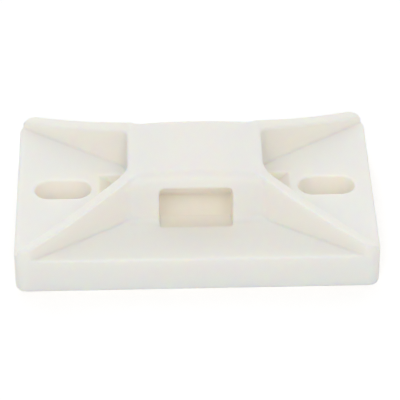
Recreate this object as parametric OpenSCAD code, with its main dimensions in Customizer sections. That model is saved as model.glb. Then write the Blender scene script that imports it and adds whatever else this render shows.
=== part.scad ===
// Two-screw cable tie mount, moulded in one piece.
//
// A flat base carries a crowned saddle block in its middle. A wide tunnel runs through the
// block from front to back for the tie, over a floor that dips so that the tie bends round
// smoothly. A lower passage crosses under it from end to end, and comes up through a ramped
// pocket in each end floor, so that a tie can also be threaded lengthwise. Four thin ribs
// run from the block's corners to the base's corners, and each end floor has a screw slot.
//
// Millimetres. Origin at the centre of the flat underside, X along the base, Y front to
// back, Z up.

/* [Base] */
// Overall length
base_l = 45; // [42:0.5:60]
// Overall width, front to back
base_w = 28; // [24:0.5:40]
// Radius of the base's corners, seen from above
corner_r = 1.5; // [0.8:0.1:2.5]
// Height of the floors in front of and behind the block
side_floor_h = 4.8; // [4.2:0.1:6]
// Height of the two end floors, where the screw heads bear
end_floor_h = 5.2; // [4.8:0.1:6.5]

/* [Saddle block] */
// Length of the block
block_l = 17; // [15:0.5:20]
// Width of the block, front to back
block_w = 12.6; // [10:0.1:15]
// Height at the middle of its crowned top
block_h = 11.7; // [10.5:0.1:14]
// How far the crown has dropped at the block's ends
crown_drop = 0.43; // [0.1:0.01:1]
// Radius of its rolled front and back top edges
edge_roll_r = 1.6; // [0.5:0.1:2]
// Radius at the foot of its front and back faces
foot_r = 0.8; // [0.3:0.1:1.2]

/* [Ribs] */
// Width of a rib where it leaves the block, front to back
rib_root_w = 2.1; // [1.5:0.1:3]
// Stretch of the front or back edge that a rib's end takes up
rib_end_l = 2; // [1.5:0.1:4]
// Stretch of the end edge that a rib's end takes up
rib_end_w = 0.45; // [0.1:0.05:1.5]
// How far below the block's top a rib's top leaves the block
rib_drop = 0.6; // [0.5:0.05:1.5]
// How far a rib's top stands over the end floor where it reaches the end of the base
rib_end_rise = 0.9; // [0.5:0.1:2]
// How far the rib's top dips below a straight line
rib_sag = 0.35; // [0.1:0.05:1]
// Radius between a rib and the block's front or back face
rib_side_r = 2; // [0.5:0.1:3]
// Radius between a rib and the block's end wall
rib_end_r = 2.2; // [0.5:0.1:2.3]
// Radius that rolls a rib's top down over the end of the base
rib_tip_r = 1.6; // [1:0.1:2]

/* [Tie tunnel] */
// Width of the tunnel from front to back
tunnel_w = 9.1; // [7:0.1:11]
// Thickness of the roof over it, at the middle of the crown
roof_t = 2.05; // [1.5:0.05:3]
// Radius of the tunnel's two upper corners
tunnel_corner_r = 0.7; // [0.2:0.1:1.5]
// Height of the lowest line of its dished floor
trough_h = 2.7; // [2.2:0.1:3.5]
// Radius of the dished floor
trough_r = 15; // [12:0.5:20]

/* [Cross passage] */
// Width of the lengthwise passage and of its pockets
passage_w = 5.7; // [4:0.1:6.5]
// Height of its floor
passage_floor_h = 1.9; // [1.2:0.1:2.2]
// Height of its ceiling under the block's end walls
passage_top_h = 4.4; // [3.6:0.1:4.6]
// Length of each pocket in the end floors, from the block's end wall
pocket_l = 3.65; // [3:0.05:4.5]
// Slope of the ramp that brings the tie up out of a pocket
ramp_angle = 45; // [40:1:60]

/* [Screw slots] */
// Distance from the base's end to a slot's centre
slot_inset = 5.8; // [5:0.1:7]
// Length of a slot, end to end
slot_l = 7.1; // [5:0.1:8]
// Width of a slot, for the screw's shank
slot_w = 3.75; // [3:0.05:4.5]

/* [Hidden] */

$fn = 96;
// How far a cut runs past the face that it opens
over = 1;
// How far a rounding circle stands proud of the sides it joins, so that they cross cleanly
graze = 0.001;

// Radius of an arc that rises by sag over a chord
function arc_r(chord, sag) = (chord * chord / 4 + sag * sag) / (2 * sag);

crown_r = arc_r(block_l, crown_drop);
tunnel_top_h = block_h - roof_t;

// Where the ribs' walls start and end, seen from above in one quarter
block_corner = [block_l / 2, block_w / 2];
rib_root_inner = [block_l / 2, block_w / 2 - rib_root_w];
side_wall_end = [base_l / 2 - rib_end_l, base_w / 2];
end_wall_end = [base_l / 2, base_w / 2 - rib_end_w];

// The chord that a rib's top hangs under, in the XZ plane
rib_top_root = [block_l / 2, block_h - rib_drop];
rib_top_end = [base_l / 2, end_floor_h + rib_end_rise];
rib_top_r = arc_r(norm(rib_top_end - rib_top_root), rib_sag);

function unit(v) = v / norm(v);
// A point on the line from a through b, a share s of the way
function along(a, b, s) = a + (b - a) * s;
// The line from a through b, at the given x or y
function at_x(a, b, x) = along(a, b, (x - a.x) / (b.x - a.x));
function at_y(a, b, y) = along(a, b, (y - a.y) / (b.y - a.y));
function flip_x(p) = [-p.x, p.y];
function flip_y(p) = [p.x, -p.y];

module mirror_x() {
    children();
    mirror([1, 0, 0]) children();
}

module mirror_y() {
    children();
    mirror([0, 1, 0]) children();
}

// Extrude a profile drawn in XZ along Y, or one drawn in YZ along X, both centred
module along_y(l) {
    rotate([90, 0, 0]) linear_extrude(l, center = true) children();
}

module along_x(l) {
    rotate([90, 0, 90]) linear_extrude(l, center = true) children();
}

// A convex outline whose corners are rounded by the given radii, 0 for a sharp one
module rounded_outline(points, radii) {
    n = len(points);
    sides = [for (i = [0 : n - 1]) [
        unit(points[(i + n - 1) % n] - points[i]),
        unit(points[(i + 1) % n] - points[i])
    ]];
    halves = [for (s = sides) acos(s[0] * s[1]) / 2];
    polygon([for (i = [0 : n - 1])
        each radii[i] == 0 ? [points[i]]
            : [for (s = sides[i]) points[i] + s * radii[i] / tan(halves[i])]]);
    for (i = [0 : n - 1]) if (radii[i] > 0)
        translate(points[i] + unit(sides[i][0] + sides[i][1]) * radii[i] / sin(halves[i]))
            circle(r = radii[i] + graze);
}

module base_outline() {
    corner = [base_l, base_w] / 2;
    rounded_outline([-corner, flip_y(corner), corner, flip_x(corner)],
        [for (i = [0 : 3]) corner_r]);
}

// The open floor behind the block, widening between two ribs to past the back edge
module side_bay() {
    outer = at_y(block_corner, side_wall_end, base_w / 2 + over);
    rounded_outline([flip_x(block_corner), block_corner, outer, flip_x(outer)],
        [rib_side_r, rib_side_r, 0, 0]);
}

// The end floor, widening between two ribs to past the end of the base
module end_bay() {
    outer = at_x(rib_root_inner, end_wall_end, base_l / 2 + over);
    rounded_outline([flip_y(rib_root_inner), flip_y(outer), outer, rib_root_inner],
        [rib_end_r, 0, 0, rib_end_r]);
}

// The X that the block and ribs make from above
module raised_outline() {
    difference() {
        base_outline();
        mirror_y() side_bay();
        mirror_x() end_bay();
    }
}

// The side view's outline: the block's crown, and the ribs' sagging tops, rolled down at
// the ends
module side_profile() {
    middle = along(rib_top_root, rib_top_end, 0.5);
    down = unit(rib_top_end - rib_top_root);
    sag_centre = middle + [-down.y, down.x] * (rib_top_r - rib_sag);
    // The roll touches the end of the base on one side and the sagging top on the other
    roll_x = base_l / 2 - rib_tip_r;
    reach = rib_top_r + rib_tip_r;
    roll_centre = [roll_x, sag_centre.y - sqrt(pow(reach, 2) - pow(sag_centre.x - roll_x, 2))];
    touch = along(roll_centre, sag_centre, rib_tip_r / reach);
    difference() {
        intersection() {
            translate([0, block_h - crown_r]) circle(r = crown_r, $fn = 360);
            translate([-base_l / 2 - over, -over]) square([base_l + 2 * over, block_h + 2 * over]);
        }
        mirror_x() intersection() {
            translate(sag_centre) circle(r = rib_top_r, $fn = 360);
            translate([block_l / 4, 0]) square([base_l / 2, block_h + 2 * over]);
        }
        mirror_x() difference() {
            polygon([roll_centre, touch, touch + [0, over], [base_l / 2 + over, touch.y + over],
                [base_l / 2 + over, roll_centre.y]]);
            translate(roll_centre) circle(r = rib_tip_r + graze);
        }
    }
}

// Block and ribs in one, up to their tops
module raised_body() {
    intersection() {
        linear_extrude(block_h + over) raised_outline();
        along_y(base_w + 2 * over) side_profile();
    }
}

// Waste over the block's back top edge, swept along the crown so that the rolled edge
// follows it. It runs from one rib's wall to the other's, and stops just clear of them.
module edge_waste() {
    apex = at_x(block_corner, side_wall_end, 0);
    intersection() {
        translate([0, 0, block_h - crown_r]) rotate([90, 0, 0]) rotate_extrude($fn = 360)
            translate([crown_r - edge_roll_r, edge_roll_r - block_w / 2]) difference() {
                translate([0, -edge_roll_r - over]) square([edge_roll_r + over, edge_roll_r + over]);
                circle(r = edge_roll_r);
            }
        translate([0, graze, 0]) linear_extrude(block_h + over)
            polygon([apex, side_wall_end, flip_x(side_wall_end)]);
    }
}

// Rounded inside corner along the foot of the block's back face. Its ends are buried in the
// ribs, on the ribs' middle lines.
module foot_fillet() {
    root = along(block_corner, rib_root_inner, 0.5);
    end = along(side_wall_end, end_wall_end, 0.5);
    intersection() {
        along_x(base_l) translate([block_w / 2, side_floor_h]) difference() {
            translate([-over, -over]) square(foot_r + over);
            translate([foot_r, foot_r]) circle(r = foot_r + graze);
        }
        linear_extrude(block_h) polygon([flip_x(root), root, end, flip_x(end)]);
    }
}

// The tie's way through the block from front to back, over its dished floor
module tunnel() {
    intersection() {
        along_y(base_w) rounded_outline([
                [-tunnel_w / 2, 0], [tunnel_w / 2, 0],
                [tunnel_w / 2, tunnel_top_h], [-tunnel_w / 2, tunnel_top_h]
            ], [0, 0, tunnel_corner_r, tunnel_corner_r]);
        along_x(block_l) translate([0, trough_h + trough_r]) circle(r = trough_r, $fn = 180);
    }
}

// The tie's way from end to end: down one ramp, under the end walls and up the other
module cross_passage() {
    mouth = block_l / 2 + pocket_l;
    rise = end_floor_h - passage_floor_h;
    ramp_foot = [mouth - rise / tan(ramp_angle), passage_floor_h];
    ramp_top = at_y(ramp_foot, [mouth, end_floor_h], end_floor_h + over);
    wall_top = [block_l / 2, end_floor_h + over];
    wall_foot = [block_l / 2, passage_top_h];
    along_y(passage_w) polygon([
        flip_x(ramp_top), flip_x(ramp_foot), ramp_foot, ramp_top,
        wall_top, wall_foot, flip_x(wall_foot), flip_x(wall_top)
    ]);
}

// One oblong screw slot, right through the base
module screw_slot() {
    reach = (slot_l - slot_w) / 2;
    translate([base_l / 2 - slot_inset, 0, -over]) {
        for (side = [-1, 1]) translate([side * reach, 0, 0])
            cylinder(d = slot_w, h = end_floor_h + 2 * over);
        translate([-reach, -slot_w / 2, 0]) cube([2 * reach, slot_w, end_floor_h + 2 * over]);
    }
}

module tie_mount() {
    color("ivory") difference() {
        union() {
            linear_extrude(side_floor_h) base_outline();
            linear_extrude(end_floor_h) difference() {
                base_outline();
                mirror_y() side_bay();
            }
            raised_body();
            mirror_y() foot_fillet();
        }
        mirror_y() edge_waste();
        tunnel();
        cross_passage();
        mirror_x() screw_slot();
    }
}

tie_mount();
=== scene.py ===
# %% [markdown]
# # A natural nylon cable tie mount
#
# The real object is one small injection moulding, 45 mm long, in uncoloured nylon. There is
# nothing to assemble, so the whole lesson is about one piece: how to turn an exact but
# hard-edged construction model into a moulding with soft edges, and how to give it the milky,
# slightly yellow look of natural nylon under flat studio light.

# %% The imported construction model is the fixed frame
import math

import bmesh
import bpy
from mathutils import Matrix, Vector


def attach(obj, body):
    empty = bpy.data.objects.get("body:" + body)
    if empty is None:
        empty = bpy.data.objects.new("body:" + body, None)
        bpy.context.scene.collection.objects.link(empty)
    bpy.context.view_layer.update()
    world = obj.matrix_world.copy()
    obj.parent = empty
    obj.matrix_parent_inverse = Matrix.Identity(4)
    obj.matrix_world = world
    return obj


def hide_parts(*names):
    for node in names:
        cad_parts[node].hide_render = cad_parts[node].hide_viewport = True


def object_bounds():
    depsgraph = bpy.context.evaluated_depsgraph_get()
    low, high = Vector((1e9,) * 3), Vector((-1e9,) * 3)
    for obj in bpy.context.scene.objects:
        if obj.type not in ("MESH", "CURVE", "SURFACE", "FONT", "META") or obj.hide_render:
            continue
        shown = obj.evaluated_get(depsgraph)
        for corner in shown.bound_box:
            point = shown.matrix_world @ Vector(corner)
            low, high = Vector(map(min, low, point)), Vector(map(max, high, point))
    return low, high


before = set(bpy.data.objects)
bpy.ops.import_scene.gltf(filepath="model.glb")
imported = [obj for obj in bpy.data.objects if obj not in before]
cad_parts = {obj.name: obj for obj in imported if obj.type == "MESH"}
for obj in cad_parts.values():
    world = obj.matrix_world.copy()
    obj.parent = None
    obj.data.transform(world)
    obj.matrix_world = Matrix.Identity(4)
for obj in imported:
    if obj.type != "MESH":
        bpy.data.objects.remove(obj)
cad_low, cad_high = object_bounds()
MM = 0.001
print("construction model, mm:", [round(side / MM, 2) for side in cad_high - cad_low])

# %% [markdown]
# ## The moulding
#
# On the real part every edge is a little round, because a mould's edges are, and the melt
# shrinks back from them. A Bevel modifier could round edges one by one, but here four ribs,
# a crown and two crossing tunnels meet at shallow angles, and a bevel would run into itself.
# So the piece is treated as a lump of clay: a copy of the construction mesh is merged and
# re-skinned with small even faces by a voxel Remesh modifier. That keeps flat walls flat, and
# what is done next then works the same on every edge.

# %% Re-skin a copy of the construction mesh
MERGE_WITHIN = 0.001 * MM
VOXEL = 0.12 * MM


def mesh_object(name, mesh):
    piece = bpy.data.objects.new(name, mesh)
    bpy.context.collection.objects.link(piece)
    return piece


def applied(piece):
    """The piece's mesh with its modifiers worked in, and none left on it."""
    shaped = piece.evaluated_get(bpy.context.evaluated_depsgraph_get())
    mesh = bpy.data.meshes.new_from_object(shaped)
    piece.modifiers.clear()
    piece.data = mesh
    return mesh


cad_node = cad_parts["tie_mount"]
shape = bmesh.new()
shape.from_mesh(cad_node.data)
bmesh.ops.remove_doubles(shape, verts=shape.verts, dist=MERGE_WITHIN)
start_mesh = bpy.data.meshes.new("moulding")
shape.to_mesh(start_mesh)
shape.free()
moulding = mesh_object("moulding", start_mesh)

skin = moulding.modifiers.new("skin", "REMESH")
skin.mode = "VOXEL"
skin.voxel_size = VOXEL
skin_mesh = applied(moulding)
print("re-skinned with", len(skin_mesh.polygons), "faces")

# %% [markdown]
# ## Soft edges, crisp inside corners
#
# Smoothing moves each point towards the middle of its neighbours. On a flat wall nothing
# happens, an outside edge sinks in and becomes round, and an inside corner fills up. The
# real mould has sharp inside corners, so only the first passes, which even out the voxel
# steps, may fill them. After the others, a point that has moved outwards goes back. That
# leaves far more faces than flat walls need, and a Decimate modifier takes them away where
# they do nothing.

# %% Round the edges, then thin out the faces
EVEN_PASSES = 2
ROUND_PASSES = 10
SHARE_OF_THE_WAY = 0.5
FACE_LIMIT = 180000


def smooth(shape, passes):
    for _ in range(passes):
        bmesh.ops.smooth_vert(shape, verts=shape.verts, factor=SHARE_OF_THE_WAY,
                              use_axis_x=True, use_axis_y=True, use_axis_z=True)


shape = bmesh.new()
shape.from_mesh(skin_mesh)
smooth(shape, EVEN_PASSES)
shape.normal_update()
before = [(point.co.copy(), point.normal.copy()) for point in shape.verts]
smooth(shape, ROUND_PASSES)
kept = 0
for point, (place, outwards) in zip(shape.verts, before):
    if (point.co - place).dot(outwards) > 0:
        point.co = place
        kept += 1
print(kept, "points kept from filling inside corners")
bmesh.ops.triangulate(shape, faces=shape.faces)
shape.to_mesh(skin_mesh)
triangles = len(skin_mesh.polygons)
shape.free()

thin = moulding.modifiers.new("thin", "DECIMATE")
thin.ratio = min(1.0, FACE_LIMIT / triangles)
moulding_mesh = applied(moulding)
for face in moulding_mesh.polygons:
    face.use_smooth = True
print(triangles, "triangles thinned to", len(moulding_mesh.polygons))

# %% [markdown]
# ## Natural nylon
#
# Nylon without pigment is a milky, warm white. Light enters it, scatters and comes out a
# millimetre or two away, so shadows inside the tunnel are not grey but tan. Subsurface
# scattering does this. The mould was fine-sparked, so the surface is satin, and a very faint
# noise in the colour, the roughness and the bump keeps it from looking like paint.

# %% The nylon material
# How far red, green and blue light get inside it
SCATTER_SHARES = (1.0, 0.75, 0.45)
SCATTER_REACH = 1.2 * MM
NYLON_IOR = 1.53
# The two tints and the two roughnesses that the noise goes between
TINTS = (0.958, 0.925, 0.865, 1), (0.968, 0.935, 0.88, 1)
ROUGHNESSES = 0.42, 0.52
BUMP_STRENGTH = 0.15
BUMP_HEIGHT = 0.02 * MM
# How large the noise's features are in the colour, the roughness and the bump
CLOUDS = 6 * MM
SATIN = 1.5 * MM
GRAIN = 0.5 * MM


def nylon_material():
    material = bpy.data.materials.new("natural_nylon")
    material.use_nodes = True
    nodes, links = material.node_tree.nodes, material.node_tree.links
    surface = nodes["Principled BSDF"]
    surface.inputs["Subsurface Weight"].default_value = 1.0
    surface.inputs["Subsurface Radius"].default_value = SCATTER_SHARES
    surface.inputs["Subsurface Scale"].default_value = SCATTER_REACH
    surface.inputs["IOR"].default_value = NYLON_IOR

    place = nodes.new("ShaderNodeTexCoord")

    def noise(feature, detail):
        """Noise on the object, its features about the given size across."""
        texture = nodes.new("ShaderNodeTexNoise")
        texture.inputs["Scale"].default_value = 1 / feature
        texture.inputs["Detail"].default_value = detail
        links.new(place.outputs["Object"], texture.inputs["Vector"])
        return texture.outputs["Fac"]

    tint = nodes.new("ShaderNodeMix")
    tint.data_type = "RGBA"
    tint.inputs["A"].default_value, tint.inputs["B"].default_value = TINTS
    links.new(noise(CLOUDS, detail=2), tint.inputs["Factor"])
    links.new(tint.outputs["Result"], surface.inputs["Base Color"])

    gloss = nodes.new("ShaderNodeMapRange")
    gloss.inputs["To Min"].default_value = ROUGHNESSES[0]
    gloss.inputs["To Max"].default_value = ROUGHNESSES[1]
    links.new(noise(SATIN, detail=3), gloss.inputs["Value"])
    links.new(gloss.outputs["Result"], surface.inputs["Roughness"])

    bump = nodes.new("ShaderNodeBump")
    bump.inputs["Strength"].default_value = BUMP_STRENGTH
    bump.inputs["Distance"].default_value = BUMP_HEIGHT
    links.new(noise(GRAIN, detail=2), bump.inputs["Height"])
    links.new(bump.outputs["Normal"], surface.inputs["Normal"])
    return material


moulding_mesh.materials.clear()
moulding_mesh.materials.append(nylon_material())
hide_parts("tie_mount")
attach(moulding, "root")
print("moulding has", len(moulding_mesh.polygons), "faces and",
      moulding_mesh.materials[0].name)

# %% [markdown]
# ## Floor and backdrop
#
# The part lies on white paper, which reflects nearly all the light that falls on it. A
# little light of its own, which only the camera, gloss and clear materials see, lifts it to
# full white without lighting the part. The shadow stays, because it is in the reflected
# share.
#
# The world does the same the other way round. It looks evenly white, but what it sends to
# the part is a room's light: bright behind the part and overhead, dimmer in front, and
# nothing of its own from the two ends. Without such a difference every face of a pale part
# would have the same colour, and its form could not be read.

# %% White paper and a white world
FLOOR_HALF_SIDE = 1.5
GAP_UNDER_PART = 0.01 * MM
PAPER_WHITE = (0.95, 0.95, 0.95, 1)
PAPER_LIFT = 0.22
PURE_WHITE = (1, 1, 1, 1)
WHITE_WORLD = 1.0
# How bright the room is straight overhead, behind the part and in front of it. Each fades
# to nothing at right angles to its direction.
ROOM_LIGHT = {(0, 0, 1): 0.59, (0, 1, 0): 1.11, (0, -1, 0): 0.25}


def seen_directly(nodes, links):
    """1 for rays that show a background, 0 for the diffuse rays that light the part."""
    path = nodes.new("ShaderNodeLightPath")
    either = path.outputs["Is Camera Ray"]
    for kind in ("Is Glossy Ray", "Is Transmission Ray"):
        larger = nodes.new("ShaderNodeMath")
        larger.operation = "MAXIMUM"
        links.new(either, larger.inputs[0])
        links.new(path.outputs[kind], larger.inputs[1])
        either = larger.outputs["Value"]
    return either


def paper_material():
    material = bpy.data.materials.new("white_paper")
    material.use_nodes = True
    nodes, links = material.node_tree.nodes, material.node_tree.links
    surface = nodes["Principled BSDF"]
    surface.inputs["Base Color"].default_value = PAPER_WHITE
    surface.inputs["Roughness"].default_value = 1.0
    surface.inputs["Specular IOR Level"].default_value = 0.0
    surface.inputs["Emission Color"].default_value = PURE_WHITE
    lift = nodes.new("ShaderNodeMath")
    lift.operation = "MULTIPLY"
    lift.inputs[1].default_value = PAPER_LIFT
    links.new(seen_directly(nodes, links), lift.inputs[0])
    links.new(lift.outputs["Value"], surface.inputs["Emission Strength"])
    return material


def white_world():
    world = bpy.data.worlds.new("white_world")
    world.use_nodes = True
    nodes, links = world.node_tree.nodes, world.node_tree.links
    direction = nodes.new("ShaderNodeTexCoord").outputs["Generated"]
    room = None
    for side, level in ROOM_LIGHT.items():
        facing = nodes.new("ShaderNodeVectorMath")
        facing.operation = "DOT_PRODUCT"
        facing.inputs[1].default_value = side
        links.new(direction, facing.inputs[0])
        share = nodes.new("ShaderNodeMapRange")
        share.inputs["To Max"].default_value = level
        links.new(facing.outputs["Value"], share.inputs["Value"])
        if room is None:
            room = share.outputs["Result"]
            continue
        total = nodes.new("ShaderNodeMath")
        links.new(room, total.inputs[0])
        links.new(share.outputs["Result"], total.inputs[1])
        room = total.outputs["Value"]
    strength = nodes.new("ShaderNodeMapRange")
    links.new(room, strength.inputs["To Min"])
    strength.inputs["To Max"].default_value = WHITE_WORLD
    links.new(seen_directly(nodes, links), strength.inputs["Value"])
    background = nodes["Background"]
    background.inputs["Color"].default_value = PURE_WHITE
    links.new(strength.outputs["Result"], background.inputs["Strength"])
    return world


shape = bmesh.new()
bmesh.ops.create_grid(shape, x_segments=1, y_segments=1, size=FLOOR_HALF_SIDE)
bmesh.ops.translate(shape, verts=shape.verts, vec=(0, 0, cad_low.z - GAP_UNDER_PART))
floor_mesh = bpy.data.meshes.new("floor")
shape.to_mesh(floor_mesh)
shape.free()
floor_mesh.materials.append(paper_material())
floor = mesh_object("floor", floor_mesh)
bpy.context.scene.world = white_world()
print("floor's side:", round(floor.dimensions.x, 2), "m")

# %% [markdown]
# ## Light and camera
#
# One large softbox stands behind the camera, close to the line of sight, and fills the
# front wall and the openings that the room's light hardly reaches. The camera is a long
# lens, so opposite edges stay nearly parallel, and looks down on the part from the front.
#
# Between white walls light is thrown to and fro many times before it comes out again. Cut
# off after the usual four bounces, the tunnel and the slots would turn dark brown, so it is
# let go on for 32.

# %% Softbox
SOFTBOX_SIZE = 0.5
SOFTBOX_WATTS = 2.0
SOFTBOX_PLACE = Vector((-0.05, -0.61, 0.51))
PART_PLACE = Vector((0, 0, 0))


def aim(thing, place, target):
    thing.location = place
    thing.rotation_euler = (target - place).to_track_quat("-Z", "Y").to_euler()


softbox_light = bpy.data.lights.new("softbox", "AREA")
softbox_light.size = SOFTBOX_SIZE
softbox_light.energy = SOFTBOX_WATTS
softbox = bpy.data.objects.new("softbox", softbox_light)
bpy.context.collection.objects.link(softbox)
aim(softbox, SOFTBOX_PLACE, PART_PLACE)
print("softbox at", [round(v, 2) for v in softbox.location])

# %% Camera
AZIMUTH = math.radians(-1.51)
ELEVATION = math.radians(37.84)
ROLL = math.radians(-0.11)
STAND_OFF = 307.4 * MM
SLIDE_RIGHT = 0.65 * MM
SLIDE_UP = 2.43 * MM
LENS_MM = 216
SENSOR_MM = 36
NEAREST_SEEN = 10 * MM
LIGHT_BOUNCES = 32


def camera_pose():
    forward = Vector((-math.sin(AZIMUTH) * math.cos(ELEVATION),
                      math.cos(AZIMUTH) * math.cos(ELEVATION), -math.sin(ELEVATION)))
    level = Vector((math.cos(AZIMUTH), math.sin(AZIMUTH), 0))
    upright = level.cross(forward)
    right = math.cos(ROLL) * level + math.sin(ROLL) * upright
    up = right.cross(forward)
    place = right * SLIDE_RIGHT + up * SLIDE_UP - forward * STAND_OFF
    turn = Matrix((right, up, -forward)).transposed()
    return Matrix.Translation(place) @ turn.to_4x4()


lens = bpy.data.cameras.new("camera")
lens.sensor_width = SENSOR_MM
lens.lens = LENS_MM
lens.clip_start = NEAREST_SEEN
camera = bpy.data.objects.new("camera", lens)
camera.matrix_world = camera_pose()
bpy.context.collection.objects.link(camera)
bpy.context.scene.camera = camera
bpy.context.scene.view_settings.view_transform = "Standard"
bpy.context.scene.cycles.max_bounces = LIGHT_BOUNCES
bpy.context.scene.cycles.diffuse_bounces = LIGHT_BOUNCES
print("camera at", [round(v / MM) for v in camera.location], "mm")
